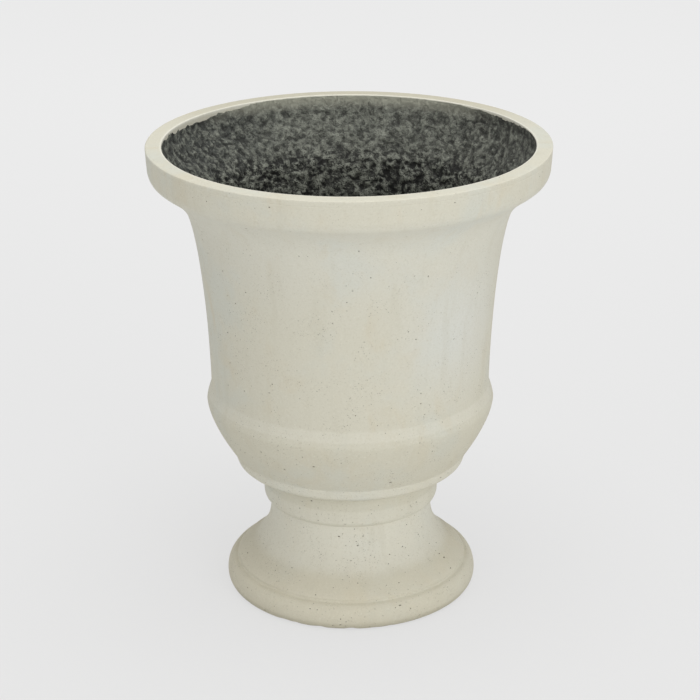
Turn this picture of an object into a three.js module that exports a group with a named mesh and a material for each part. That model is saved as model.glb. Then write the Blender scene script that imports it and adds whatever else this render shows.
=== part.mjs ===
// Garden urn planter of cast fibre stone: a flared bowl with a broad rolled rim, bedded in
// mortar on a turned pedestal. Each casting is a pale stone face backed by a dark fibre laminate.
// Millimetres, +Z up. The origin is the centre of the foot, on the ground.
import * as THREE from 'three';

const roundSegments = 40; // facets of the big turned pieces
const smallSegments = 24; // facets of the drain pieces

// Walls
const faceThickness = 5; // stone face coat
const backingThickness = 8; // fibre laminate behind it
const bondGap = 0.3; // between two pieces that touch
const laminateLift = 3; // the pedestal's laminate stops this far above the ground

// Pedestal, from the ground up
const footRadius = 130.4; // where the torus meets the ground
const torusBulge = 7.2; // beyond the foot
const torusWidestHeight = 12.5;
const torusHeight = 28.8;
const torusTopSetback = 3; // back from the foot
const grooveDepth = 1.6;
const grooveHeight = 3.2;
const grooveSlope = 1.3; // height of its lower side
const filletSetback = 6.6; // back from the torus's top
const filletHeight = 4;
const neckRadius = 88.2;
const scotiaHeight = 52; // fillet to neck
const scotiaSlope = 142.4; // degrees from level, where it leaves the fillet
const collarSwell = 7; // beyond the neck
const collarRise = 22; // neck to the start of the bead
const collarSlope = 84;
const beadBulge = 1.6; // beyond the collar
const beadWidestHeight = 9.2;
const beadHeight = 23;
const beadTopSetback = 3.8; // back from the bead

// Joint between the pedestal and the bowl
const mortarThickness = 4;
const mortarInset = 1.2; // how far the mortar lies back from the bead's top edge
const spigotRadius = 58; // ring below the bowl that centres it in the pedestal
const spigotWall = 6;
const spigotDepth = 22;
const spigotClearance = 4;
const mortarClearance = 4; // between the mortar and the pedestal's throat

// Bowl, from its seat up
const seatMargin = 0.2; // beyond the bead
const undersideReach = 18; // beyond the seat
const undersideRise = 5.5;
const undersideSlope = 20;
const cornerReach = 9.6; // beyond the underside
const cornerHeight = 7.5;
const cornerSlope = 80;
const plinthBandHeight = 6;
const plinthBandFlare = 1.9;
const stepDepth = 0.5; // fine step under the cone
const stepCutHeight = 1.6;
const stepHeight = 4;
const stepReach = 1.8; // beyond the plinth band
const coneHeight = 57;
const coneSlope = 58.5;
const shoulderRadius = 155.1;
const shoulderProjection = 5.1; // beyond the waist
const shoulderHeight = 19;
const shoulderSlope = 98;
const wallHeight = 200;
const wallFlare = 22.5; // from the waist to the wall's top
const wallTopSlope = 72.3;
const flareHeight = 28;
const flareFootSlope = 65;
const flareTopSlope = 34;

// Rim
const rimRadius = 211.3;
const rimRollReach = 9.4; // from the flare to the rim
const rimRollHeight = 12;
const rimRollSlope = 38;
const rimBandHeight = 24;
const rimBandFlare = 1.4;
const rimEdgeRound = 5;
const lipWidth = 14.5; // flat top of the rim
const lipThickness = 8;

// Drain
const sleeveRadius = 15;
const sleeveWall = 3;
const sleeveDrop = 10; // how far the sleeve hangs below the bowl's seat
const sleeveFlangeReach = 7; // beyond the sleeve
const sleeveFlangeThickness = 2.5;
const plugClearance = 0.3;
const plugLength = 16;
const plugTipHeight = 3; // chamfer at the plug's lower end
const plugTipDepth = 1.5;
const plugHeadReach = 3; // beyond the sleeve
const plugHeadThickness = 5;
const plugHeadChamfer = 2.4;
const knobRadius = 7;
const knobNeckRadius = 5;
const knobNeckHeight = 7.2;
const knobTopHeight = 4.8;

// Heights of the stations, each from the one below
const filletBase = torusHeight + grooveHeight;
const scotiaBase = filletBase + filletHeight;
const neckLevel = scotiaBase + scotiaHeight;
const beadBase = neckLevel + collarRise;
const pedestalTop = beadBase + beadHeight;
const seatLevel = pedestalTop + mortarThickness;
const cornerBase = seatLevel + undersideRise;
const plinthBandBase = cornerBase + cornerHeight;
const plinthBandTop = plinthBandBase + plinthBandHeight;
const coneBase = plinthBandTop + stepHeight;
const shoulderLevel = coneBase + coneHeight;
const wallBase = shoulderLevel + shoulderHeight;
const wallTop = wallBase + wallHeight;
const flareTop = wallTop + flareHeight;
const rimBandBase = flareTop + rimRollHeight;
const rimTop = rimBandBase + rimBandHeight;

// Radii of the stations
const torusTopRadius = footRadius - torusTopSetback;
const filletRadius = torusTopRadius - filletSetback;
const collarRadius = neckRadius + collarSwell;
const beadRadius = collarRadius + beadBulge;
const beadTopRadius = beadRadius - beadTopSetback;
const seatRadius = beadRadius + seatMargin;
const undersideRadius = seatRadius + undersideReach;
const plinthBandRadius = undersideRadius + cornerReach;
const coneFootRadius = plinthBandRadius + plinthBandFlare + stepReach;
const waistRadius = shoulderRadius - shoulderProjection;
const wallTopRadius = waistRadius + wallFlare;
const rimFootRadius = rimRadius - rimBandFlare;
const flareRadius = rimRadius - rimRollReach;
const lipRadius = rimRadius - lipWidth;
const throatRadius = spigotRadius + spigotClearance;
const drainHoleRadius = sleeveRadius + bondGap;

// Depths from the outline into the wall
const linerDepth = faceThickness + bondGap; // to the laminate's outside
const innerDepth = linerDepth + backingThickness; // to the laminate's inside
const floorLevel = seatLevel + innerDepth;

const point = (radius, height) => new THREE.Vector2(radius, height);

// Curve between two stations that leaves and arrives at the given slopes, in degrees from level.
// The handles are a share of the straight distance.
function sweep(from, to, leaving, arriving, steps, firstShare = 0.35, lastShare = 0.35) {
  const span = from.distanceTo(to);
  const handle = (degrees, share) => {
    const angle = THREE.MathUtils.degToRad(degrees);
    return point(Math.cos(angle), Math.sin(angle)).multiplyScalar(span * share);
  };
  const start = from.clone().add(handle(leaving, firstShare));
  const end = to.clone().sub(handle(arriving, lastShare));
  return new THREE.CubicBezierCurve(from, start, end, to).getPoints(steps);
}

// Quarter of an ellipse between two stations, upright at the widest one.
function quarterRound(from, to, uprightFirst, steps) {
  const points = [];
  for (let i = 0; i <= steps; i += 1) {
    const turn = (i / steps) * (Math.PI / 2);
    const across = uprightFirst ? 1 - Math.cos(turn) : Math.sin(turn);
    const along = uprightFirst ? Math.sin(turn) : 1 - Math.cos(turn);
    points.push(point(from.x + (to.x - from.x) * across, from.y + (to.y - from.y) * along));
  }
  return points;
}

// Joins stretches of outline and drops the points that two stretches share.
function joinStretches(...stretches) {
  const all = stretches.flat();
  return all.filter((here, i) => i === 0 || here.distanceTo(all[i - 1]) > 1e-6);
}

// The same outline, moved into the wall by an even depth with mitred corners.
function inset(outline, depth) {
  const normals = outline.slice(1).map((next, i) => {
    const along = next.clone().sub(outline[i]).normalize();
    return point(-along.y, along.x);
  });
  return outline.map((here, i) => {
    const before = normals[Math.max(i - 1, 0)];
    const after = normals[Math.min(i, normals.length - 1)];
    const miter = before.clone().add(after).divideScalar(1 + before.dot(after));
    return here.clone().add(miter.multiplyScalar(depth));
  });
}

// Stretches of the two castings. Fine steps make the faces, coarse ones the insides.
const scotia = (steps) => sweep(
  point(filletRadius, scotiaBase), point(neckRadius, neckLevel), scotiaSlope, 90, steps, 0.4, 0.35,
);
const cone = (steps) => sweep(
  point(coneFootRadius, coneBase), point(shoulderRadius, shoulderLevel), coneSlope, 90, steps,
  0.3, 0.25,
);
const wall = (steps) => sweep(
  point(waistRadius, wallBase), point(wallTopRadius, wallTop), 90, wallTopSlope, steps, 0.3, 0.3,
);
const flare = (steps) => sweep(
  point(wallTopRadius, wallTop), point(flareRadius, flareTop), flareFootSlope, flareTopSlope, steps,
);

function pedestalFace() {
  const torusWidest = point(footRadius + torusBulge, torusWidestHeight);
  const grooveFloor = torusTopRadius - grooveDepth;
  const collarFoot = point(collarRadius, beadBase);
  const beadWidest = point(beadRadius, beadBase + beadWidestHeight);
  return joinStretches(
    quarterRound(point(footRadius, 0), torusWidest, false, 3),
    quarterRound(torusWidest, point(torusTopRadius, torusHeight), true, 4),
    [point(grooveFloor, torusHeight + grooveSlope), point(grooveFloor, filletBase)],
    scotia(6),
    sweep(point(neckRadius, neckLevel), collarFoot, 90, collarSlope, 4, 0.45, 0.5),
    quarterRound(beadWidest, point(beadTopRadius, pedestalTop), true, 3),
  );
}

// Plain outline that the pedestal's inside follows, ending along its top plate.
function pedestalCore() {
  return joinStretches(
    [point(footRadius, 0), point(footRadius, torusHeight - grooveHeight)],
    scotia(3),
    [point(collarRadius, beadBase), point(collarRadius, pedestalTop)],
    [point(throatRadius, pedestalTop)],
  );
}

function bowlFace() {
  const underside = point(undersideRadius, cornerBase);
  const plinthBand = point(plinthBandRadius, plinthBandBase);
  const bandEnd = plinthBandRadius + plinthBandFlare;
  const shoulder = point(shoulderRadius, shoulderLevel);
  const waist = point(waistRadius, wallBase);
  const flareEnd = point(flareRadius, flareTop);
  const rimFoot = point(rimFootRadius, rimBandBase);
  const edgeFoot = point(rimRadius, rimTop - rimEdgeRound);
  return joinStretches(
    [point(seatRadius, seatLevel)],
    sweep(underside, plinthBand, undersideSlope, cornerSlope, 3),
    [point(bandEnd, plinthBandTop), point(bandEnd - stepDepth, plinthBandTop + stepCutHeight)],
    cone(6),
    sweep(shoulder, waist, 90, shoulderSlope, 3, 0.2, 0.4),
    wall(7),
    flare(4),
    sweep(flareEnd, rimFoot, rimRollSlope, cornerSlope, 3, 0.4, 0.4),
    quarterRound(edgeFoot, point(rimRadius - rimEdgeRound, rimTop), true, 3),
  );
}

// Plain outline that the bowl's inside follows, from the drain to the rim.
function bowlCore() {
  return joinStretches(
    [point(drainHoleRadius, seatLevel), point(undersideRadius - faceThickness, seatLevel)],
    cone(3),
    wall(4),
    flare(2),
    [point(rimFootRadius, rimBandBase), point(rimRadius, rimTop)],
  );
}

// Ends an inside outline level, at the given height.
function endAt(outline, height) {
  const last = outline.at(-1);
  const before = outline.at(-2);
  const share = (height - before.y) / (last.y - before.y);
  return [...outline.slice(0, -1), before.clone().lerp(last, share)];
}

const group = new THREE.Group();

// Adds one turned piece; its outline runs up the outside and down the inside.
function addTurned(name, outline, segments, look) {
  const closed = outline[0].x === 0 ? outline : [...outline, outline[0].clone()];
  const geometry = new THREE.LatheGeometry(closed, segments);
  geometry.rotateX(Math.PI / 2);
  const mesh = new THREE.Mesh(geometry, new THREE.MeshStandardMaterial(look));
  mesh.name = name;
  group.add(mesh);
}

const stoneLook = { color: 0xccc8bc, roughness: 0.86, metalness: 0 };
const laminateLook = { color: 0x4b4a42, roughness: 0.8, metalness: 0 };
const mortarLook = { color: 0xa9a397, roughness: 0.95, metalness: 0 };
const sleeveLook = { color: 0x6f7376, roughness: 0.5, metalness: 0 };
const rubberLook = { color: 0x26272a, roughness: 0.75, metalness: 0 };

function addPedestal() {
  const core = pedestalCore();
  const faceInside = inset(core, faceThickness).reverse();
  const faceOutline = [...pedestalFace(), point(throatRadius, pedestalTop), ...faceInside];
  addTurned('pedestal_shell', faceOutline, roundSegments, stoneLook);

  const lifted = (outline) => [point(outline[0].x, laminateLift), ...outline.slice(1)];
  const linerInside = lifted(inset(core, innerDepth)).reverse();
  const linerOutline = [...lifted(inset(core, linerDepth)), ...linerInside];
  addTurned('pedestal_liner', linerOutline, roundSegments, laminateLook);
}

function addMortar() {
  const outer = beadTopRadius - mortarInset;
  const inner = throatRadius + mortarClearance;
  const low = pedestalTop + bondGap;
  const high = seatLevel - bondGap;
  const outline = [point(inner, low), point(outer, low), point(outer, high), point(inner, high)];
  addTurned('joint_mortar', outline, roundSegments, mortarLook);
}

function addBowl() {
  const core = bowlCore();
  const lipUnderside = rimTop - lipThickness;
  const faceInside = endAt(inset(core, faceThickness), lipUnderside).reverse();
  const spigotInner = spigotRadius - spigotWall;
  const spigotLevel = seatLevel - spigotDepth;
  const faceOutline = [
    point(drainHoleRadius, seatLevel),
    point(spigotInner, seatLevel),
    point(spigotInner, spigotLevel),
    point(spigotRadius, spigotLevel),
    point(spigotRadius, seatLevel),
    ...bowlFace(),
    point(lipRadius, rimTop),
    point(lipRadius, lipUnderside),
    ...faceInside,
  ];
  addTurned('bowl_shell', faceOutline, roundSegments, stoneLook);

  const linerTop = lipUnderside - bondGap;
  const linerInside = endAt(inset(core, innerDepth), linerTop).reverse();
  const linerOutline = [...endAt(inset(core, linerDepth), linerTop), ...linerInside];
  addTurned('bowl_liner', linerOutline, roundSegments, laminateLook);
}

const flangeLevel = floorLevel + bondGap;
const flangeTop = flangeLevel + sleeveFlangeThickness;
const boreRadius = sleeveRadius - sleeveWall;

function addSleeve() {
  const low = seatLevel - sleeveDrop;
  const outline = [
    point(boreRadius, low),
    point(sleeveRadius, low),
    point(sleeveRadius, flangeLevel),
    point(sleeveRadius + sleeveFlangeReach, flangeLevel),
    point(sleeveRadius + sleeveFlangeReach, flangeTop),
    point(boreRadius, flangeTop),
  ];
  addTurned('drain_sleeve', outline, smallSegments, sleeveLook);
}

function addPlug() {
  const headLevel = flangeTop + bondGap;
  const headTop = headLevel + plugHeadThickness;
  const tipLevel = headLevel - plugLength;
  const stemRadius = boreRadius - plugClearance;
  const headRadius = sleeveRadius + plugHeadReach;
  const knobWidest = point(knobRadius, headTop + knobNeckHeight);
  const knobTop = point(0, headTop + knobNeckHeight + knobTopHeight);
  const outline = [
    point(0, tipLevel),
    point(stemRadius - plugTipDepth, tipLevel),
    point(stemRadius, tipLevel + plugTipHeight),
    point(stemRadius, headLevel),
    point(headRadius, headLevel),
    point(headRadius, headTop - plugHeadChamfer),
    point(headRadius - plugHeadChamfer, headTop),
    point(knobNeckRadius, headTop),
    ...quarterRound(knobWidest, knobTop, true, 3),
  ];
  addTurned('drain_plug', outline, smallSegments, rubberLook);
}

addPedestal();
addMortar();
addBowl();
addSleeve();
addPlug();

export default group;
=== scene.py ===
# Garden urn planter of cast fibre stone: a flared bowl bedded in mortar on a turned pedestal.
# Pale stone faces with air voids, dark hand-laid laminate inside, a plugged drain in the floor.
# Blender works in metres; the sizes in the dictionaries are millimetres, except the studio's.
import bpy
import bmesh
import math
import random
from mathutils import Matrix, Vector, noise
from mathutils.geometry import interpolate_bezier
from mathutils.kdtree import KDTree


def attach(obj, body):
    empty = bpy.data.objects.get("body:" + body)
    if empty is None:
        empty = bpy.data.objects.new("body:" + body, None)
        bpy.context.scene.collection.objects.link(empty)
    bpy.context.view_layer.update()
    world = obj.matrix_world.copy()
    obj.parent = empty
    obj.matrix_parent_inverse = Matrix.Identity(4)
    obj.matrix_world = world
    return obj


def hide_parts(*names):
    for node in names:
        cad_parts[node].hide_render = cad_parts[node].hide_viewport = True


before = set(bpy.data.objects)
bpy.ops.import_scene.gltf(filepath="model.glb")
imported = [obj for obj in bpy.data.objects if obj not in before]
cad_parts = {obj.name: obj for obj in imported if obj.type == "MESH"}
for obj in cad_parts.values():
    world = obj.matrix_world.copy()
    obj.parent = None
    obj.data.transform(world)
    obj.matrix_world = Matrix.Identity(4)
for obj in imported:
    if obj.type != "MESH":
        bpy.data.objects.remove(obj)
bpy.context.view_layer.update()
mm = 0.001
tiny = 1e-6  # points closer than this are one
mergeReach = 1e-5
upright = 90  # degrees from level


# An outline is a list of Vector(radius, 0, height) that runs up the outside of a casting.

def at(radius, height):
    return Vector((radius * mm, 0, height * mm))


def slope(degrees):
    turn = math.radians(degrees)
    return Vector((math.cos(turn), 0, math.sin(turn)))


def sweep(start, end, leaving, arriving, first=0.35, last=0.35, spacing=3.0):
    # a curve that leaves and arrives at the given slopes, in degrees from level, and holds them
    # for the first and last shares of its length
    span = (end - start).length
    leastSteps = 4
    steps = max(leastSteps, math.ceil(span / (spacing * mm)) + 1)
    out, back = slope(leaving) * span * first, slope(arriving) * span * last
    return interpolate_bezier(start, start + out, end - back, end, steps)


def straight(start, end, spacing):
    steps = max(1, round((end - start).length / (spacing * mm)))
    return [start.lerp(end, i / steps) for i in range(steps + 1)]


def quarterRound(start, end, uprightFirst, steps):
    points = []
    for i in range(steps + 1):
        turn = math.pi / 2 * i / steps
        across, along = math.sin(turn), 1 - math.cos(turn)
        if uprightFirst:
            across, along = along, across
        step = end - start
        points.append(start + Vector((step.x * across, 0, step.z * along)))
    return points


def chain(*stretches):
    points = []
    for point in sum(stretches, []):
        if not points or (point - points[-1]).length > tiny:
            points.append(point)
    return points


def refine(outline, spacing):
    # adds points, so that none are further apart than the spacing
    return chain(*[straight(start, end, spacing) for start, end in zip(outline, outline[1:])])


def ease(outline, reach, least=16):
    # takes the sharpness off each corner that turns by at least so many degrees
    mostOfSide, fullness, steps = 0.45, 0.6, 4
    points = [outline[0]]
    for before, here, after in zip(outline, outline[1:], outline[2:]):
        arriving, leaving = here - before, after - here
        if arriving.angle(leaving) < math.radians(least):
            points.append(here)
            continue
        cut = min(reach * mm, arriving.length * mostOfSide, leaving.length * mostOfSide)
        start, end = here - arriving.normalized() * cut, here + leaving.normalized() * cut
        points += interpolate_bezier(start, start.lerp(here, fullness), end.lerp(here, fullness),
                                     end, steps)
    return points + [outline[-1]]


def inset(outline, depth):
    # the same outline, moved evenly into the wall with mitred corners
    ways = [(b - a).normalized() for a, b in zip(outline, outline[1:])]
    normals = [Vector((-way.z, 0, way.x)) for way in ways]
    before, after = [normals[0]] + normals, normals + [normals[-1]]
    return [p + (a + b) / (1 + a.dot(b)) * depth * mm for p, a, b in zip(outline, before, after)]


def endAt(outline, height):
    # cuts an outline, or lengthens its last stretch, so that it ends at a height
    before, last = outline[-2], outline[-1]
    return outline[:-1] + [before.lerp(last, (height * mm - before.z) / (last.z - before.z))]


# Meshes

def spinSolid(shown, hidden, sectors, sectorSteps):
    # one closed turned solid, spun as a sector and copied round; its shown stretch is worked on
    # later, and the hidden one closes it
    mesh = bmesh.new()
    worked = mesh.verts.layers.float.new("worked")
    verts = [mesh.verts.new(point) for point in shown + hidden]
    for vert in verts[:len(shown)]:
        vert[worked] = 1
    pairs = zip(verts, verts[1:] + verts[:1])
    edges = [mesh.edges.new(pair) for pair in pairs if pair[0].co.x + pair[1].co.x > tiny]
    around = {"cent": (0, 0, 0), "axis": (0, 0, 1)}
    bmesh.ops.spin(mesh, geom=verts + edges, angle=math.tau / sectors, steps=sectorSteps,
                   use_merge=False, use_duplicate=False, **around)
    bmesh.ops.spin(mesh, geom=mesh.verts[:] + mesh.edges[:] + mesh.faces[:], steps=sectors - 1,
                   angle=math.tau * (1 - 1 / sectors), use_duplicate=True, **around)
    bmesh.ops.remove_doubles(mesh, verts=mesh.verts, dist=mergeReach)
    bmesh.ops.recalc_face_normals(mesh, faces=mesh.faces)
    return mesh


def shownVerts(mesh):
    mesh.normal_update()
    worked = mesh.verts.layers.float["worked"]
    return [vert for vert in mesh.verts if vert[worked] > 0]


def addPiece(name, mesh, shader, body, node, crease=34):
    # edges that turn by more than the crease's degrees stay sharp
    for face in mesh.faces:
        face.smooth = True
    for edge in mesh.edges:
        edge.smooth = edge.calc_face_angle(0) < math.radians(crease)
    mesh.verts.layers.float.remove(mesh.verts.layers.float["worked"])
    data = bpy.data.meshes.new(name)
    mesh.to_mesh(data)
    mesh.free()
    data.materials.append(shader)
    piece = bpy.data.objects.new(name, data)
    bpy.context.scene.collection.objects.link(piece)
    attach(piece, body)
    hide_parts(node)
    data.calc_loop_triangles()
    print("made", name, "with", len(data.loop_triangles), "triangles")


def sinkWaves(mesh, waves, shift, quietTop=0):
    # a hand-cast face is never quite true: each wave sinks it by up to its depth
    quietShare = 0.4
    for vert in shownVerts(mesh):
        sink = sum(depth * (0.5 + 0.5 * noise.noise(vert.co / (size * mm) + shift))
                   for size, depth in waves)
        if quietTop and vert.co.z > quietTop * mm:
            sink *= quietShare
        vert.co -= vert.normal * sink * mm


def spots(rng, wear):
    # places of wear: (azimuth from the back, radius, height, reach, stretch, depth)
    drawn = ("height", "reach", "stretch", "depth")
    return [(rng.uniform(-180, 180), wear["radius"], *[rng.uniform(*wear[name]) for name in drawn])
            for _ in range(wear["count"])]


def knock(mesh, places):
    # shallow knocks and chips
    verts = shownVerts(mesh)
    tree = KDTree(len(verts))
    for i, vert in enumerate(verts):
        tree.insert(vert.co, i)
    tree.balance()
    for azimuth, radius, height, reach, stretch, depth in places:
        turn = math.radians(azimuth)
        centre = Vector((math.sin(turn) * radius, math.cos(turn) * radius, height)) * mm
        tangent = Vector((math.cos(turn), -math.sin(turn), 0))
        for place, i, distance in tree.find_range(centre, reach * stretch * mm):
            off = place - centre
            off -= tangent * off.dot(tangent) * (1 - 1 / stretch)
            fall = max(0, 1 - off.length / (reach * mm))
            verts[i].co -= verts[i].normal * depth * mm * fall * fall * (3 - 2 * fall)


voidShape = {  # lengths are in shares of the void's radius
    "scattered": 0.2, "clustered": 3.2, "room": 2.4, "offGrid": 0.25, "longShare": 0.16,
    "longStretch": (1.4, 2.3), "ragged": (0.85, 1.12), "middle": 0.1, "wall": 0.2, "depth": 0.8,
    "floor": (0.2, 0.7),
}


def pierce(mesh, voids, rng):
    # air voids: corners of the mesh opened into small round holes, the largest first
    mesh.verts.layers.float.new("hollow")
    worked, hollow = mesh.verts.layers.float["worked"], mesh.verts.layers.float["hollow"]
    taken = set()
    for radius, share in voids["sizes"]:
        chosen = []
        for vert in shownVerts(mesh):
            key = vert.co.to_tuple(5)
            if vert[worked] < 1 or key in taken or len(vert.link_edges) != 4:
                continue
            cluster = noise.noise(vert.co / (voids["clusterSize"] * mm) + voids["shift"])
            low = max(0, 1 - vert.co.z / (voids["fadeHeight"] * mm))
            chance = share * (voidShape["scattered"] + max(0, cluster) * voidShape["clustered"])
            chance *= 1 + low * voids["lowerGain"]
            room = min(edge.calc_length() for edge in vert.link_edges)
            if rng.random() > chance or room < voidShape["room"] * radius * mm:
                continue
            near = [edge.other_vert(vert).co.to_tuple(5) for edge in vert.link_edges]
            if not any(key in taken for key in near):
                taken.update([key] + near)
                chosen.append(vert)
        for vert in chosen:  # off the grid a little
            edge = rng.choice(list(vert.link_edges))
            vert.co = vert.co.lerp(edge.other_vert(vert).co, rng.uniform(0, voidShape["offGrid"]))
        hearts = []
        for vert in chosen:
            isLong = rng.random() < voidShape["longShare"]
            stretch = rng.uniform(*voidShape["longStretch"]) if isLong else 1
            hearts.append((vert.co.copy(), vert.normal.copy(), stretch))
        tree = KDTree(len(hearts))
        for i, heart in enumerate(hearts):
            tree.insert(heart[0], i)
        tree.balance()
        cut = bmesh.ops.bevel(mesh, geom=chosen, offset=radius * mm, offset_type="OFFSET",
                              affect="VERTICES", segments=2, profile=0.5, material=-1,
                              clamp_overlap=False)
        middles = []
        for vert in cut["verts"]:
            centre, i, distance = tree.find(vert.co)
            vert[worked], vert[hollow] = 0.5, 0
            if distance < radius * voidShape["middle"] * mm:
                middles.append((vert, hearts[i][1]))
                continue
            tangent = Vector((-centre.y, centre.x, 0)).normalized()
            spoke = (vert.co - centre).normalized() * radius * mm
            spoke *= rng.uniform(*voidShape["ragged"])
            vert.co = centre + spoke + tangent * spoke.dot(tangent) * (hearts[i][2] - 1)
        bmesh.ops.inset_region(mesh, faces=cut["faces"], thickness=radius * voidShape["wall"] * mm,
                               depth=-radius * voidShape["depth"] * mm, use_boundary=True,
                               use_even_offset=True)
        for face in cut["faces"]:
            for vert in face.verts:
                vert[hollow] = 1
        for vert, normal in middles:
            vert.co -= normal * radius * rng.uniform(*voidShape["floor"]) * mm
        print("   opened", len(chosen), "voids of radius", radius)


# Shaders

def srgb(red, green, blue):
    # a colour as it is read off a screen, 0 to 255, made linear
    shares = [c / 255 for c in (red, green, blue)]
    return (*[((c + 0.055) / 1.055) ** 2.4 if c > 0.04 else c / 12.92 for c in shares], 1)


class Wire:
    def __init__(self, shader, socket):
        self.shader = shader
        self.socket = socket

    def compute(self, operation, *values):
        settings = {"operation": operation}
        return self.shader.add("ShaderNodeMath", settings, dict(enumerate(values)))

    def __add__(self, other):
        return self.compute("ADD", self, other)

    def __sub__(self, other):
        return self.compute("SUBTRACT", self, other)

    def __rsub__(self, other):
        return self.compute("SUBTRACT", other, self)

    def __mul__(self, other):
        return self.compute("MULTIPLY", self, other)

    def __abs__(self):
        return self.compute("ABSOLUTE", self)

    def atMost(self, other):
        return self.compute("MINIMUM", self, other)

    __radd__ = __add__
    __rmul__ = __mul__


class Shader:
    def __init__(self, owner):
        owner.use_nodes = True
        self.owner = owner
        self.tree = owner.node_tree
        self.tree.nodes.clear()

    def add(self, kind, settings={}, sockets={}, output=0):
        node = self.tree.nodes.new(kind)
        for name, value in settings.items():
            setattr(node, name, value)
        for name, value in sockets.items():
            if isinstance(value, Wire):
                self.tree.links.new(value.socket, node.inputs[name])
            else:
                node.inputs[name].default_value = value
        return Wire(self, node.outputs[output]) if node.outputs else None

    def place(self):
        return self.add("ShaderNodeTexCoord", output="Object")

    def stretched(self, place, scale, turn=(0, 0, 0)):
        sockets = {"Vector": place, "Rotation": turn, "Scale": scale}
        return self.add("ShaderNodeMapping", {}, sockets)

    def grain(self, place, size, detail=3, roughness=0.5, distortion=0):
        # soft noise, 0 to 1, whose features are about one size across
        sockets = {"Vector": place, "Scale": 1 / (size * mm), "Detail": detail,
                   "Roughness": roughness, "Distortion": distortion}
        return self.add("ShaderNodeTexNoise", {}, sockets)

    def cells(self, place, size, output=0):
        sockets = {"Vector": place, "Scale": 1 / (size * mm)}
        return self.add("ShaderNodeTexVoronoi", {}, sockets, output)

    def between(self, value, low, high):
        # 0 below low, 1 above high and smooth between; low may be the higher one
        if low > high:
            return 1 - self.between(value, high, low)
        sockets = {"Value": value, "From Min": low, "From Max": high}
        return self.add("ShaderNodeMapRange", {"interpolation_type": "SMOOTHSTEP"}, sockets)

    def along(self, length, low, high):
        # the same for a length, with its ends in millimetres
        return self.between(length, low * mm, high * mm)

    def mix(self, first, second, share):
        settings = {"data_type": "RGBA", "blend_type": "MIX"}
        return self.add("ShaderNodeMix", settings, {0: share, 6: first, 7: second}, 2)

    def paint(self, look, ground, tints):
        # lays each tint over the ones before it
        colour = look[ground]
        for tone, share in tints:
            colour = self.mix(colour, look[tone], share)
        return colour

    def part(self, place, axis):
        return self.add("ShaderNodeSeparateXYZ", {}, {0: place}, axis)

    def distance(self, place, spot=(0, 0, 0)):
        settings = {"operation": "DISTANCE"}
        return self.add("ShaderNodeVectorMath", settings, {0: place, 1: spot}, "Value")

    def mark(self, name):
        return self.add("ShaderNodeAttribute", {"attribute_name": name}, output="Fac")

    def bump(self, height, depth, under=None):
        sockets = {"Height": height, "Distance": depth * mm, "Strength": 1}
        if under:
            sockets["Normal"] = under
        return self.add("ShaderNodeBump", {}, sockets)

    def finish(self, sockets):
        surface = self.add("ShaderNodeBsdfPrincipled", {}, sockets)
        self.add("ShaderNodeOutputMaterial", {}, {"Surface": surface})
        return self.owner


def stoneShader(look):
    stone = Shader(bpy.data.materials.new("castStone"))
    place = stone.place()
    back, height = stone.part(place, 1), stone.part(place, 2)
    radius = stone.distance(stone.stretched(place, (1, 1, 0)))
    cloud = stone.grain(place, *look["cloud"])
    cast = stone.grain(stone.stretched(place, look["castStretch"]), *look["cast"])
    run = stone.grain(stone.stretched(place, look["runStretch"]), *look["run"])
    fine = stone.grain(place, *look["grain"])
    hole = 0
    for spacing, edge in look["pins"]:
        hole = stone.between(stone.cells(place, spacing), edge, edge * 0.5) + hole
    busy = stone.between(stone.grain(place, *look["pinCluster"]), *look["pinBusy"])
    hole = hole * busy * (1 - stone.along(height, *look["pinFade"]) * look["pinFadeShare"])
    # painted light: a paler, cooler patch on the right front, where the key lamp falls
    litPatchSpot = [length * mm for length in look["litPatchPlace"]]
    paintedLightPatch = stone.along(stone.distance(place, litPatchSpot), look["litPatchReach"], 0)
    upper = stone.along(height, *look["upperFoot"]) * stone.along(height, *look["upperTop"])
    # painted shade: the top of the lip is darker towards the back
    paintedBackLipShade = stone.along(back, *look["lipShadeBack"]) * stone.along(height, *look["lipShadeHeights"])
    # painted highlight: a thin lighter line along the inner edge of the lip
    paintedLipHighlight = stone.along(radius, *look["lipHighlightRadii"]) * stone.along(height, *look["lipHighlightHeights"])
    tints = [("cool", stone.between(cloud, *look["coolCloud"]) * look["coolShare"]),
             ("tan", stone.between(cast, *look["tanCast"]) * look["castShare"]),
             # lower pedestal warmer and darker: partly dirt, partly painted shade under the
             # overhanging bowl
             ("tan", stone.along(height, *look["lowTanAndShadeHeights"]) * look["lowTanAndShadeShare"]),
             ("pale", paintedLightPatch * look["litPatchShare"]),
             ("pale", upper * look["upperShare"]),
             ("shade", stone.along(height, *look["bellyHeights"]) * look["bellyShare"])]
    # bands by height, mostly painted highlights and painted shade, listed in castStone
    for foot, top, edge, tone, share in look["bands"]:
        rise, fall = stone.along(height, foot - edge, foot), stone.along(height, top + edge, top)
        tints.append((tone, rise * fall * share))
    tints += [("shade", paintedBackLipShade * look["lipShadeShare"]),
              ("chalk", paintedLipHighlight * look["lipHighlightShare"]),
              ("shade", stone.between(run, *look["shadeRuns"]) * look["runShare"]),
              ("shade", stone.between(fine, *look["shadeGrain"]) * look["grainShare"]),
              ("chalk", stone.between(fine, *look["paleGrain"]) * look["grainShare"]),
              # painted shade in the pinholes and in the opened voids, in a soil-brown tone
              ("pitShade", hole * look["pitShadeShare"]),
              ("pitShade", stone.mark("hollow") * look["pitShadeShare"])]
    normal = stone.bump(stone.grain(place, *look["lump"]), look["lumpDepth"])
    normal = stone.bump(fine - hole * look["pinDepth"], look["grainDepth"], normal)
    roughness = look["roughness"] + (cast - 0.5) * look["roughnessSpread"]
    return stone.finish({"Base Color": stone.paint(look, "cream", tints), "Roughness": roughness,
                         "Normal": normal, "Specular IOR Level": look["specular"]})


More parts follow.
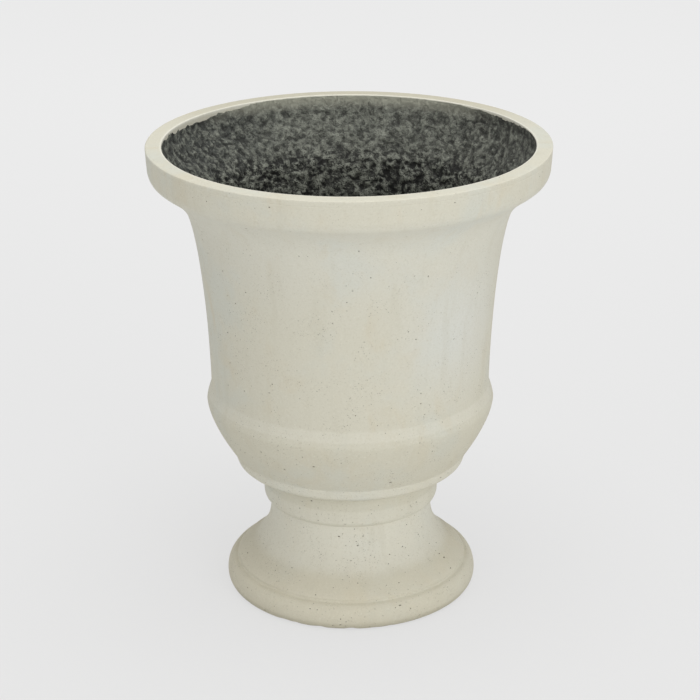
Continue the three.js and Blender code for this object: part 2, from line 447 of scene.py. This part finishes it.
def laminateShader(look):
    resin = Shader(bpy.data.materials.new("fibreLaminate"))
    place = resin.place()
    side, back, height = (resin.part(place, axis) for axis in range(3))
    relief = resin.mark("relief")
    cloud = resin.grain(place, *look["cloud"])
    fine = resin.grain(place, *look["grain"])
    clot = resin.grain(resin.stretched(place, look["clotStretch"]), *look["clot"])
    strand = 0
    for size, turn in look["strands"]:
        lay = resin.stretched(place, look["strandStretch"], turn)
        flow = resin.grain(lay, size, *look["strandNoise"])
        strand = resin.between(abs(flow - 0.5), look["strandWidth"], 0) + strand
    bare = resin.between(resin.grain(place, *look["bare"]), *look["bareNoise"])
    strand = strand * (look["bareLeast"] + bare * (1 - look["bareLeast"]))
    # darker deeper in the bowl: partly the laminate's own darker lower tone, partly painted shade
    # in the deep bowl
    deep = resin.along(height, *look["deepHeights"])
    strandShare, ridgeToneAndHighlightShare, dipShadeShare = (
        least + deep * more for least, more in (look["strandShares"], look["ridgeToneAndHighlightShares"],
                                                look["dipShadeShares"]))
    # painted shade: the laminate darker at the left and right, where the walls face sideways and
    # get less light
    sideShade = resin.along(abs(side + look["sideShadeShift"] * mm), *look["sideShadeReach"])
    # a paler band under the lip on the back wall: partly thin slurry and dust, partly painted light
    # where the front light falls
    wander = (cloud - 0.5) * (look["dustAndLightWander"] * mm)
    dustAndLight = resin.along(height + wander, *look["dustAndLightHeights"])
    dustAndLight = dustAndLight * resin.along(back, *look["dustAndLightBack"])
    tints = [("grey", resin.between(cloud, *look["greyCloud"])),
             ("slate", resin.along(side, *look["slateReach"]) * look["slateShare"]),
             ("black", sideShade * look["sideShadeShare"]),
             ("black", deep * look["deepToneAndShadeShare"]),
             ("strand", strand * strandShare),
             # lighter on the raised relief and clots: partly the strands' own paler tone, partly
             # painted highlight on their tops
             ("strand", resin.between(relief, *look["ridgeRelief"]) * ridgeToneAndHighlightShare),
             ("strand", resin.between(clot, *look["ridgeClots"]) * ridgeToneAndHighlightShare),
             # painted shade: black in the dips of the relief, the clots and the fine grain
             ("black", resin.between(relief, *look["dipShadeRelief"]) * dipShadeShare),
             ("black", resin.between(clot, *look["dipShadeClots"]) * dipShadeShare),
             ("black", resin.between(fine, *look["dipShadeGrain"]) * dipShadeShare),
             ("dust", dustAndLight * look["dustShare"])]
    normal = resin.bump(cloud, look["lumpDepth"])
    normal = resin.bump(clot, look["clotDepth"], normal)
    normal = resin.bump(strand * look["strandLift"] + fine, look["strandDepth"], normal)
    roughness = look["roughness"] + (fine - 0.5) * look["roughnessSpread"]
    return resin.finish({"Base Color": resin.paint(look, "dark", tints), "Roughness": roughness,
                         "Normal": normal, "Specular IOR Level": look["specular"]})


def sandyShader(look):
    mat = Shader(bpy.data.materials.new("mortar"))
    place = mat.place()
    sand = mat.cells(place, look["sandSize"])
    cloud = mat.grain(place, *look["cloud"])
    tint = mat.between(mat.cells(place, look["sandSize"], 1), *look["gritCells"])
    tints = [("damp", mat.between(cloud, *look["dampCloud"])), ("grit", tint * look["gritShare"])]
    roughness = look["roughness"] + (cloud - 0.5) * look["roughnessSpread"]
    return mat.finish({"Base Color": mat.paint(look, "base", tints), "Roughness": roughness,
                       "Normal": mat.bump(1 - sand, look["sandDepth"])})


def mouldedShader(name, look):
    mat = Shader(bpy.data.materials.new(name))
    place = mat.place()
    cloud = mat.grain(place, *look["cloud"])
    fine = mat.grain(place, *look["grain"])
    tints = [("dust", mat.between(cloud, *moulded["dustCloud"]) * look["dustShare"])]
    roughness = look["roughness"] + (cloud - 0.5) * moulded["cloudSpread"]
    roughness = roughness + (fine - 0.5) * moulded["grainSpread"]
    return mat.finish({"Base Color": mat.paint(look, "base", tints), "Roughness": roughness,
                       "Normal": mat.bump(fine, look["grainDepth"]),
                       "Specular IOR Level": look["specular"]})


# A noise is its size, detail, roughness and distortion. A pair says where a tint starts and where
# it is full: on the noise that it is named for, or else on a height, radius or distance.

castStone = {
    "cream": srgb(208, 205, 189), "cool": srgb(204, 205, 194), "tan": srgb(205, 198, 177),
    "pale": srgb(213, 214, 207), "shade": srgb(188, 183, 163), "chalk": srgb(222, 220, 207),
    # the painted shade of pinholes and voids
    "pitShade": srgb(88, 80, 64),
    "cloud": (95, 4, 0.6), "coolCloud": (0.46, 0.66), "coolShare": 0.8,
    "cast": (34, 5, 0.62, 0.4), "castStretch": (1, 1, 0.6),
    "tanCast": (0.5, 0.72), "castShare": 0.6,
    "run": (15, 3, 0.5), "runStretch": (1, 1, 0.1), "shadeRuns": (0.52, 0.74), "runShare": 0.16,
    "grain": (2, 4, 0.7), "shadeGrain": (0.5, 0.75), "paleGrain": (0.45, 0.25), "grainShare": 0.5,
    # the low tan band is partly dirt and partly painted shade under the bowl
    "lowTanAndShadeHeights": (90, 40), "lowTanAndShadeShare": 0.55, "bellyHeights": (340, 200), "bellyShare": 0.12,
    # a patch of painted light on the right front of the bowl
    "litPatchPlace": (120, -110, 330), "litPatchReach": 110, "litPatchShare": 0.8,
    "upperFoot": (330, 440), "upperTop": (480, 460), "upperShare": 0.3,
    # painted shade on the top of the lip towards the back
    "lipShadeBack": (40, 190), "lipShadeHeights": (497.5, 499), "lipShadeShare": 0.75,
    # a painted highlight along the inner edge of the lip
    "lipHighlightRadii": (196.8, 195.2), "lipHighlightHeights": (496, 499), "lipHighlightShare": 0.9,
    # by height: the chalk bands at 56 to 97 (painted light on the pedestal's scotia), 106 to 118
    # (painted highlight on the bead), 150 to 158 (painted highlight on the bowl's foot band) and
    # 226 to 234 (painted highlight on the shoulder ring) are painted light, the shade band at 164
    # to 214 is painted shade on the cone, and the last darkens the very foot
    "bands": ((56, 97, 12, "chalk", 0.55), (106, 118, 3, "chalk", 0.3),
              (150, 158, 3, "chalk", 0.25), (226, 234, 3, "chalk", 0.3),
              (164, 214, 9, "shade", 0.22), (-5, 5, 6, "shade", 0.7)),
    "pins": ((2.3, 0.14), (4.2, 0.12), (8, 0.08)), "pinCluster": (30, 2), "pinBusy": (0.42, 0.6),
    "pinFade": (370, 420), "pinFadeShare": 0.6, "pinDepth": 2.5, "pitShadeShare": 0.85,
    "lump": (7, 4, 0.55), "lumpDepth": 0.25, "grainDepth": 0.14,
    "roughness": 0.86, "roughnessSpread": 0.14, "specular": 0.3,
}
laminate = {
    "grey": srgb(122, 125, 115), "dark": srgb(94, 96, 87), "black": srgb(20, 20, 16),
    "slate": srgb(78, 85, 83), "strand": srgb(160, 163, 150), "dust": srgb(200, 200, 182),
    "cloud": (22, 4, 0.6), "greyCloud": (0.35, 0.62), "grain": (1.7, 3, 0.75),
    "dipShadeGrain": (0.5, 0.36), "clot": (6.5, 5, 0.66, 0.8), "clotStretch": (1, 1, 1.3),
    "ridgeClots": (0.53, 0.62), "dipShadeClots": (0.49, 0.4),
    "ridgeRelief": (0.25, 0.8), "dipShadeRelief": (-0.15, -0.75),  # read off the mesh, in millimetres
    "strands": ((5.5, (0.5, 0.3, 0.7)), (4.5, (1.4, 0.2, 2.1)), (7, (0.9, 1.7, 0.4))),
    "strandStretch": (1, 1, 0.6), "strandNoise": (2, 0.45, 0.7), "strandWidth": 0.035,
    "bare": (14, 2), "bareNoise": (0.35, 0.6), "bareLeast": 0.35,
    # the deep darkening is partly tone and partly painted shade
    "deepHeights": (456, 430), "deepToneAndShadeShare": 0.68,  # the shares are at the top, and more deep down
    "strandShares": (0.25, 0.3), "ridgeToneAndHighlightShares": (0.48, 0.34), "dipShadeShares": (0.6, 0.38),
    "slateReach": (-50, -170), "slateShare": 0.6,
    # painted shade at the sides of the bowl's inside
    "sideShadeShift": 12, "sideShadeReach": (40, 140), "sideShadeShare": 0.46,
    # the pale band under the back of the lip is partly dust and partly painted light
    "dustAndLightHeights": (483, 498), "dustAndLightWander": 10, "dustAndLightBack": (100, 180), "dustShare": 0.9,
    "lumpDepth": 1.2, "clotDepth": 3, "strandDepth": 0.9, "strandLift": 0.6,
    "roughness": 0.6, "roughnessSpread": 0.5, "specular": 0.5,
}
mortar = {
    "base": srgb(178, 170, 151), "damp": srgb(156, 148, 129), "grit": srgb(120, 110, 92),
    "sandSize": 0.9, "sandDepth": 0.25, "gritCells": (0.3, 0.9), "gritShare": 0.35,
    "cloud": (16, 4, 0.6), "dampCloud": (0.45, 0.7), "roughness": 0.93, "roughnessSpread": 0.1,
}
moulded = {"dustCloud": (0.5, 0.75), "cloudSpread": 0.3, "grainSpread": 0.1}
plastic = {
    "base": srgb(104, 108, 112), "dust": srgb(160, 156, 144), "dustShare": 0.5,
    "cloud": (14, 4, 0.6), "grain": (0.6, 3, 0.7), "grainDepth": 0.02,
    "roughness": 0.5, "specular": 0.5,
}
rubber = {
    "base": srgb(38, 39, 42), "dust": srgb(120, 116, 104), "dustShare": 0.35,
    "cloud": (9, 4, 0.6), "grain": (0.5, 3, 0.7), "grainDepth": 0.03,
    "roughness": 0.7, "specular": 0.4,
}
stone = stoneShader(castStone)
fibre = laminateShader(laminate)
print("materials made")


# Pedestal: foot torus, groove, scotia, neck and the collar's bead

pedestal = {
    "foot": (130.4, 0), "torusWidest": (137.6, 11.5), "torusTop": (126.9, 27.8),
    "grooveTop": (125.4, 29.1), "grooveFoot": (125.4, 31.2), "fillet": (120.8, 35.7),
    "scotiaSlope": 142, "scotiaShares": (0.48, 0.41), "neck": (87.8, 99), "beadFootSlope": 23,
    "beadShares": (0.48, 0.5), "beadWidest": (95.4, 111.8), "beadTop": (93, 133),
    "throat": (62, 133), "coreFillet": (130.4, 24.8), "coreSpacing": 8,
    "sectors": (20, 15), "softening": 0.7, "spacing": 3,
    "waves": ((60, 0.35), (17, 0.14)), "wavesShift": Vector((5.3, 1.2, 8.8)), "seed": 11,
}
pedestalVoids = {
    "sizes": ((0.9, 0.004), (0.7, 0.01), (0.5, 0.02), (0.36, 0.03)), "clusterSize": 26,
    "shift": Vector((3.1, 7.7, 1.9)), "fadeHeight": 60, "lowerGain": 0.8,
}
footChips = {"count": 26, "radius": 131.5, "height": (0.5, 3), "reach": (3, 6),
             "stretch": (1, 2.2), "depth": (0.5, 1.3)}
torusKnocks = {"count": 16, "radius": 127, "height": (27, 30), "reach": (2.5, 4),
               "stretch": (1, 2.5), "depth": (0.3, 0.8)}
faceThickness, bondGap, backingThickness = 5, 0.3, 8


def scotia(spacing):
    return sweep(at(*pedestal["fillet"]), at(*pedestal["neck"]), pedestal["scotiaSlope"], upright,
                 *pedestal["scotiaShares"], spacing)


def pedestalCore(spacing):
    # the plainer outline that the inside of the casting follows
    beadTop = at(pedestal["beadWidest"][0], pedestal["throat"][1])
    return chain([at(*pedestal["foot"]), at(*pedestal["coreFillet"])], scotia(spacing),
                 [at(*pedestal["beadWidest"]), beadTop, at(*pedestal["throat"])])


def addPedestalFace():
    foot, widest = at(*pedestal["foot"]), at(*pedestal["torusWidest"])
    neck, bead = at(*pedestal["neck"]), at(*pedestal["beadWidest"])
    face = chain(
        quarterRound(foot, widest, False, 9),
        quarterRound(widest, at(*pedestal["torusTop"]), True, 11),
        [at(*pedestal["grooveTop"]), at(*pedestal["grooveFoot"])],
        scotia(2.6),
        sweep(neck, bead, pedestal["beadFootSlope"], upright, *pedestal["beadShares"], 2),
        quarterRound(bead, at(*pedestal["beadTop"]), True, 7),
    )
    shown = refine(ease(face, pedestal["softening"]), pedestal["spacing"])
    inside = inset(pedestalCore(pedestal["coreSpacing"]), faceThickness)
    hidden = [at(*pedestal["throat"])] + inside[::-1]
    mesh = spinSolid(shown, hidden, *pedestal["sectors"])
    rng = random.Random(pedestal["seed"])
    sinkWaves(mesh, pedestal["waves"], pedestal["wavesShift"])
    knock(mesh, spots(rng, footChips) + spots(rng, torusKnocks))
    pierce(mesh, pedestalVoids, rng)
    addPiece("pedestalFace", mesh, stone, "planter", "pedestal_shell")


rough = {
    "lumps": ((46, 1.1), (17, 1.1)), "clots": ((7, 1.3), (4, 1.5)),
    "shift": Vector((9.4, 2.7, 4.1)),
    "strands": ((Matrix.Rotation(0.6, 3, "Y"), 0.4, 8, 0.8),
                (Matrix.Rotation(-0.9, 3, "Y"), 0.4, 6, 0.7),
                (Matrix.Rotation(0.1, 3, "X"), 0.5, 11, 0.7)),
    "sharpness": 3, "sunk": 0.2, "crease": 60,
}


def roughen(mesh, strength):
    # hand-laid laminate: soft lumps, and clots and ridges where the strands lie, whose relief is
    # kept in the mesh for the colour
    relief = mesh.verts.layers.float.new("relief")
    shift = rough["shift"]
    for vert in shownVerts(mesh):
        spot = vert.co / mm
        swell = sum(depth * noise.noise(spot / size + shift) for size, depth in rough["lumps"])
        ridge = sum(depth * noise.noise(spot / size - shift) for size, depth in rough["clots"])
        for turn, squash, size, depth in rough["strands"]:
            way = turn @ spot
            way.z *= squash
            crest = 1 - abs(noise.noise(way / size)) * 2
            ridge += depth * (crest ** rough["sharpness"] - rough["sunk"])
        vert[relief] = ridge
        vert.co += vert.normal * (swell + ridge) * strength(spot) * mm


lining = {
    "lift": 3, "spacing": 3, "shown": 4, "hidden": 12, "sectors": (20, 11),
    "footFade": 6, "ceiling": 119, "ceilingFade": 5,
}


def addPedestalLaminate():
    core = pedestalCore(lining["spacing"])
    depth = faceThickness + bondGap
    inner, outer = inset(core, depth + backingThickness), inset(core, depth)
    for outline in (inner, outer):
        outline[0] = at(outline[0].x / mm, lining["lift"])
    mesh = spinSolid(refine(inner, lining["shown"])[::-1], refine(outer, lining["hidden"]),
                     *lining["sectors"])

    def strength(spot):
        # smooth at the foot and under the joint
        fromFoot = (spot.z - lining["lift"]) / lining["footFade"]
        fromCeiling = (lining["ceiling"] - spot.z) / lining["ceilingFade"]
        return min(1, fromFoot) * min(1, max(0, fromCeiling))

    roughen(mesh, strength)
    addPiece("pedestalLaminate", mesh, fibre, "planter", "pedestal_liner",
             rough["crease"])


addPedestalFace()
addPedestalLaminate()


# Mortar bed, squeezed out a little all round

bed = {
    "inner": 66, "outer": 91.8, "foot": 133.3, "top": 136.7, "bulge": 65, "sectors": (20, 13),
    "lumps": ((9, 0.5), (3.4, 0.35)), "sunk": 0.3,
}


def addMortarBed():
    squeezed = sweep(at(bed["outer"], bed["foot"]), at(bed["outer"], bed["top"]), bed["bulge"],
                     180 - bed["bulge"], 0.4, 0.4, 0.6)
    inner = [at(bed["inner"], bed["top"]), at(bed["inner"], bed["foot"])]
    mesh = spinSolid(squeezed, refine(inner, 9), *bed["sectors"])
    for vert in shownVerts(mesh):
        spot = vert.co / mm
        push = sum(depth * noise.noise(spot / size) for size, depth in bed["lumps"]) - bed["sunk"]
        vert.co += Vector((vert.normal.x, vert.normal.y, 0)) * push * mm
    addPiece("mortarBed", mesh, sandyShader(mortar), "planter", "joint_mortar")


addMortarBed()


# Bowl: underside, plinth band, cone, shoulder ring, flared wall and rolled rim

bowl = {
    "drain": (15.3, 137), "spigotInner": 52, "spigotOuter": 58, "spigotFoot": 115,
    "seat": (97, 137), "underside": (115, 142.5), "undersideSlopes": (20, 80),
    "corner": (124.6, 150), "band": (126.5, 156), "step": (126, 157.6),
    "cone": (128.3, 160), "coneSlope": 56, "coneTopSlope": 86, "coneShares": (0.31, 0.25),
    "shoulder": (155.1, 218), "shoulderSlope": 97, "waistSlope": 110, "shoulderShares": (0.3, 0.35),
    "waist": (150, 235.2), "wallTop": (171.3, 433), "wallSlope": 68, "wallShares": (0.23, 0.2),
    "flareFootSlope": 63.4, "flareTopSlope": 34.5, "flare": (202.1, 464),
    "rollSlope": 32, "rollTopSlope": 80, "rollShares": (0.42, 0.42), "rimFoot": (210.1, 476),
    "mouldLine": ((211.03, 494.2), (210.8, 493.7), (210.98, 493.2)),
    "edge": (211.3, 498.6), "lip": (209.9, 500), "innerEdge": (195.3, 500),
    "mouth": (194.1, 498.8), "lipUnderside": 492,
    "sectors": (20, 17), "softening": 0.8, "spacing": 3, "coreSpacing": 12, "quietTop": 484,
    "waves": ((75, 0.38), (19, 0.13)), "wavesShift": Vector((2.9, 4.4, 6.3)), "seed": 5,
}
bowlVoids = {
    "sizes": ((0.9, 0.0011), (0.7, 0.003), (0.5, 0.008), (0.36, 0.015)), "clusterSize": 30,
    "shift": Vector((1.4, 6.1, 2.2)), "fadeHeight": 330, "lowerGain": 1.2,
}


def cone(spacing):
    return sweep(at(*bowl["cone"]), at(*bowl["shoulder"]), bowl["coneSlope"], bowl["coneTopSlope"],
                 *bowl["coneShares"], spacing)


def wall(spacing):
    return sweep(at(*bowl["waist"]), at(*bowl["wallTop"]), upright, bowl["wallSlope"],
                 *bowl["wallShares"], spacing)


def flare(spacing):
    return sweep(at(*bowl["wallTop"]), at(*bowl["flare"]), bowl["flareFootSlope"],
                 bowl["flareTopSlope"], spacing=spacing)


def bowlCore(spacing):
    # the plainer outline that the inside of the casting follows
    lowCorner = at(bowl["underside"][0] - faceThickness, bowl["seat"][1])
    return chain([at(*bowl["drain"]), lowCorner], cone(spacing), wall(spacing), flare(spacing),
                 [at(*bowl["rimFoot"]), at(bowl["edge"][0], bowl["lip"][1])])


def addBowlFace():
    edge, lip = at(*bowl["edge"]), at(*bowl["lip"])
    face = chain(
        [at(*bowl["seat"])],
        sweep(at(*bowl["underside"]), at(*bowl["corner"]), *bowl["undersideSlopes"], spacing=2),
        [at(*bowl["band"]), at(*bowl["step"])],
        cone(3),
        sweep(at(*bowl["shoulder"]), at(*bowl["waist"]), bowl["shoulderSlope"], bowl["waistSlope"],
              *bowl["shoulderShares"], 2.2),
        wall(3),
        flare(2.6),
        sweep(at(*bowl["flare"]), at(*bowl["rimFoot"]), bowl["rollSlope"], bowl["rollTopSlope"],
              *bowl["rollShares"], 2),
        [at(*spot) for spot in bowl["mouldLine"][::-1]],
        quarterRound(edge, lip, True, 5),
        quarterRound(at(*bowl["innerEdge"]), at(*bowl["mouth"]), False, 4),
        [at(bowl["mouth"][0], bowl["lipUnderside"])],
    )
    shown = refine(ease(face, bowl["softening"]), bowl["spacing"])
    seat, foot = bowl["seat"][1], bowl["spigotFoot"]
    inner, outer = bowl["spigotInner"], bowl["spigotOuter"]
    spigot = [at(inner, seat), at(inner, foot), at(outer, foot), at(outer, seat)]
    inside = inset(bowlCore(bowl["coreSpacing"]), faceThickness)
    inside = endAt(inside, bowl["lipUnderside"])[::-1]
    mesh = spinSolid(shown, inside + [at(*bowl["drain"])] + spigot, *bowl["sectors"])
    rng = random.Random(bowl["seed"])
    sinkWaves(mesh, bowl["waves"], bowl["wavesShift"], bowl["quietTop"])
    pierce(mesh, bowlVoids, rng)
    addPiece("bowlFace", mesh, stone, "planter", "bowl_shell")


# The laminate's coat of slurry runs up over the inside of the lip to a brushed, ragged edge

brushed = {  # how far below the rim it ends, by azimuth from the back, in degrees and millimetres
    -180: 2, -130: 1.5, -100: 1, -80: 4.5, -68: 7, -58: 7, -42: 3.8, -25: 0.7, 0: 0.5, 30: 0.5,
    48: 2, 58: 3.5, 70: 3, 82: 1, 110: 1.5, 150: 3.5, 180: 2,
}
skin = {
    "radius": 193.6, "foot": 491.7, "top": 499.9, "buried": 194.7, "filletFoot": 438,
    "filletSlope": 56, "filletTopSlope": 82, "filletShares": (0.35, 0.3), "fineFoot": 375,
    "fine": 1.75, "coarse": 5.5, "lipSpacing": 0.8, "outerSpacing": 20, "sectors": (24, 18),
    "drainReach": 26, "drainFade": 16, "drainLeast": 0.03,
    "lipFade": 36, "lipLeast": 0.16, "most": 1.15,
    "ragged": ((9, 1), (31, 0.8), (90, 0.8)), "edgeLeast": 1.1, "edgeMost": 7.6,
}


def brushedEdge(azimuth):
    marks = sorted(brushed)
    left = max(mark for mark in marks if mark <= azimuth)
    right = min(mark for mark in marks if mark > left)
    share = (azimuth - left) / (right - left)
    depth = brushed[left] + (brushed[right] - brushed[left]) * share * share * (3 - 2 * share)
    turn = math.radians(azimuth)
    spot = Vector((math.sin(turn), math.cos(turn), 0))
    ragged = sum(height * noise.noise(spot * pace) for pace, height in skin["ragged"])
    depth = depth * (1 + 0.5 * ragged) + 0.4 * ragged
    return min(skin["edgeMost"], max(skin["edgeLeast"], depth))


def addBowlLaminate():
    depth = faceThickness + bondGap
    core = [point for point in inset(bowlCore(2), depth + backingThickness)
            if point.z < skin["filletFoot"] * mm]
    fineFoot = skin["fineFoot"] * mm
    low = refine([point for point in core if point.z < fineFoot], skin["coarse"])
    high = refine([point for point in core if point.z >= fineFoot], skin["fine"])
    # it thickens behind the lip
    fillet = sweep(core[-1], at(skin["radius"], skin["foot"]), skin["filletSlope"],
                   skin["filletTopSlope"], *skin["filletShares"], skin["fine"])
    inner = chain(low, high, fillet)
    lip = straight(inner[-1], at(skin["radius"], skin["top"]), skin["lipSpacing"])[1:]
    buried = [at(skin["buried"], skin["top"]), at(skin["buried"], skin["foot"] + 0.5)]
    outer = endAt(inset(bowlCore(skin["outerSpacing"]), depth), skin["foot"])[::-1]
    mesh = spinSolid(inner + lip, buried + outer, *skin["sectors"])
    for vert in mesh.verts:
        rise = vert.co.z / mm - skin["foot"]
        if rise > 0.01:  # on the lip, where it is drawn down to the brushed edge
            azimuth = math.degrees(math.atan2(vert.co.x, vert.co.y))
            top = bowl["lip"][1] - brushedEdge(min(azimuth, 179.99)) - skin["foot"]
            vert.co.z = (skin["foot"] + rise * top / (skin["top"] - skin["foot"])) * mm

    def strength(spot):
        # smooth round the drain and towards the lip
        fromDrain = (math.hypot(spot.x, spot.y) - skin["drainReach"]) / skin["drainFade"]
        belowLip = (bowl["lip"][1] - spot.z) / skin["lipFade"]
        nearDrain = min(1, max(skin["drainLeast"], fromDrain))
        return nearDrain * min(skin["most"], max(skin["lipLeast"], belowLip))

    roughen(mesh, strength)
    addPiece("bowlLaminate", mesh, fibre, "planter", "bowl_liner",
             rough["crease"])


addBowlFace()
addBowlLaminate()


# Drain: a moulded sleeve through the floor and a rubber plug with a pull knob

drain = {
    "bore": 12, "sleeve": 15, "flange": 22, "foot": 127, "flangeFoot": 150.6, "flangeTop": 153.1,
    "boreClosing": (133, 135),
    "stem": 11.7, "tip": 10.2, "tipFoot": 137.4, "tipTop": 140.4, "head": 18, "headFoot": 153.4,
    "headTop": 158.4, "chamfer": 2.4, "dishOuter": 12.5, "dishInner": 9, "dishDepth": 0.5,
    "knobNeck": 5, "knobSpread": 1.6, "knob": 7, "knobWidest": 165.6, "knobTop": 170.4,
    "softening": 0.6, "sleeveSpacing": 3, "plugSpacing": 2.5, "sectors": (8, 10),
}


def addSleeve():
    foot, low, top = drain["foot"], drain["flangeFoot"], drain["flangeTop"]
    start, end = drain["boreClosing"]  # the outline starts and ends in the bore
    outline = [at(drain["bore"], start), at(drain["bore"], foot), at(drain["sleeve"], foot),
               at(drain["sleeve"], low), at(drain["flange"], low), at(drain["flange"], top),
               at(drain["bore"], top), at(drain["bore"], end)]
    outline = refine(ease(outline, drain["softening"]), drain["sleeveSpacing"])
    mesh = spinSolid(outline, [], *drain["sectors"])
    addPiece("drainSleeve", mesh, mouldedShader("sleevePlastic", plastic), "planter",
             "drain_sleeve")


def addPlug():
    stem, head, foot, top = drain["stem"], drain["head"], drain["headFoot"], drain["headTop"]
    outer, inner, depth = drain["dishOuter"], drain["dishInner"], drain["dishDepth"]
    knob, crown = at(drain["knob"], drain["knobWidest"]), at(0, drain["knobTop"])
    neck = sweep(at(drain["knobNeck"] + drain["knobSpread"], top), knob, 150, 60, 0.5, 0.5, 0.7)
    dish = [at(head - drain["chamfer"], top), at(outer, top), at(outer - depth, top - depth),
            at(inner + depth, top - depth), at(inner, top)]
    lower = [at(0, drain["tipFoot"]), at(drain["tip"], drain["tipFoot"]), at(stem, drain["tipTop"]),
             at(stem, foot), at(head, foot), at(head, top - drain["chamfer"])]
    outline = chain(ease(lower + dish + [neck[0]], drain["softening"]), neck,
                    quarterRound(knob, crown, True, 8))
    mesh = spinSolid(refine(outline, drain["plugSpacing"]), [], *drain["sectors"])
    addPiece("drainPlug", mesh, mouldedShader("plugRubber", rubber), "plug", "drain_plug")


addSleeve()
addPlug()


# Studio: pale floor, plain soft light, and the camera

studio = {  # heights and places in metres, and where the paper's tone changes in millimetres
    # the paper's tone from near to far is a painted falloff of the light
    "paperNearShaded": srgb(229, 229, 229), "paperFarLit": srgb(241, 241, 241), "near": -600, "far": 2600,
    "glow": 0.78, "underFoot": (110, 128), "floorReach": 14,
    "sky": 0.6, "skySeen": 0.86, "white": (1, 1, 1, 1), "aim": (0, 0, 0.3),
    "lamps": {  # place, size across and power
        "key": ((1.75, -2.7, 1.15), 2, 31),
        "fill": ((-2.2, -2, 0.5), 2.2, 8.5),
        "top": ((0.1, -0.2, 3.2), 2.2, 42),
    },
    "camera": (0, -2.1, 1.085), "lookDown": 21.27, "roll": -0.3, "lens": 107.54, "sensor": 36,
}


def addFloor():
    # the paper shows at its own plain tone, with the urn's shadow on it
    mesh = bmesh.new()
    bmesh.ops.create_grid(mesh, x_segments=1, y_segments=1, size=studio["floorReach"])
    data = bpy.data.meshes.new("floor")
    mesh.to_mesh(data)
    mesh.free()
    paper = Shader(bpy.data.materials.new("paper"))
    place = paper.place()
    # painted light: the paper lighter further back, in place of the light's falloff
    far = paper.along(paper.part(place, 1), studio["near"], studio["far"])
    colour = paper.mix(studio["paperNearShaded"], studio["paperFarLit"], far)
    lit = paper.add("ShaderNodeBsdfDiffuse", {}, {"Color": colour})
    seen = paper.add("ShaderNodeEmission", {}, {"Color": colour, "Strength": 1.0})
    rays = paper.add("ShaderNodeLightPath").socket.node.outputs
    camera, glossy, through = (
        Wire(paper, rays[name]) for name in ("Is Camera Ray", "Is Glossy Ray",
                                             "Is Transmission Ray"))
    plain = (camera + glossy + through).atMost(1) * studio["glow"]
    share = plain * paper.along(paper.distance(place), *studio["underFoot"])
    surface = paper.add("ShaderNodeMixShader", {}, {0: share, 1: lit, 2: seen})
    paper.add("ShaderNodeOutputMaterial", {}, {"Surface": surface})
    data.materials.append(paper.owner)
    floor = bpy.data.objects.new("floor", data)
    bpy.context.scene.collection.objects.link(floor)


def addWorld():
    world = Shader(bpy.data.worlds.new("sky"))
    light, seen = (
        world.add("ShaderNodeBackground", {}, {"Color": studio["white"], "Strength": studio[name]})
        for name in ("sky", "skySeen"))
    camera = world.add("ShaderNodeLightPath")
    surface = world.add("ShaderNodeMixShader", {}, {0: camera, 1: light, 2: seen})
    world.add("ShaderNodeOutputWorld", {}, {"Surface": surface})
    bpy.context.scene.world = world.owner


def addLamp(name, place, size, power):
    light = bpy.data.lights.new(name, "AREA")
    light.shape = "DISK"
    light.size = size
    light.energy = power
    lamp = bpy.data.objects.new(name, light)
    lamp.location = place
    way = Vector(studio["aim"]) - Vector(place)
    lamp.rotation_euler = way.to_track_quat("-Z", "Y").to_euler()
    lamp.visible_camera = False
    bpy.context.scene.collection.objects.link(lamp)


def addCamera():
    camera = bpy.data.objects.new("camera", bpy.data.cameras.new("camera"))
    camera.data.lens = studio["lens"]
    camera.data.sensor_width = studio["sensor"]
    pitch = Matrix.Rotation(math.radians(90 - studio["lookDown"]), 4, "X")
    roll = Matrix.Rotation(math.radians(studio["roll"]), 4, "Z")
    camera.matrix_world = Matrix.Translation(studio["camera"]) @ pitch @ roll
    bpy.context.scene.collection.objects.link(camera)
    bpy.context.scene.camera = camera


addFloor()
addWorld()
for name, (place, size, power) in studio["lamps"].items():
    addLamp(name, place, size, power)
addCamera()
bpy.context.scene.view_settings.view_transform = "Standard"
print("studio ready")
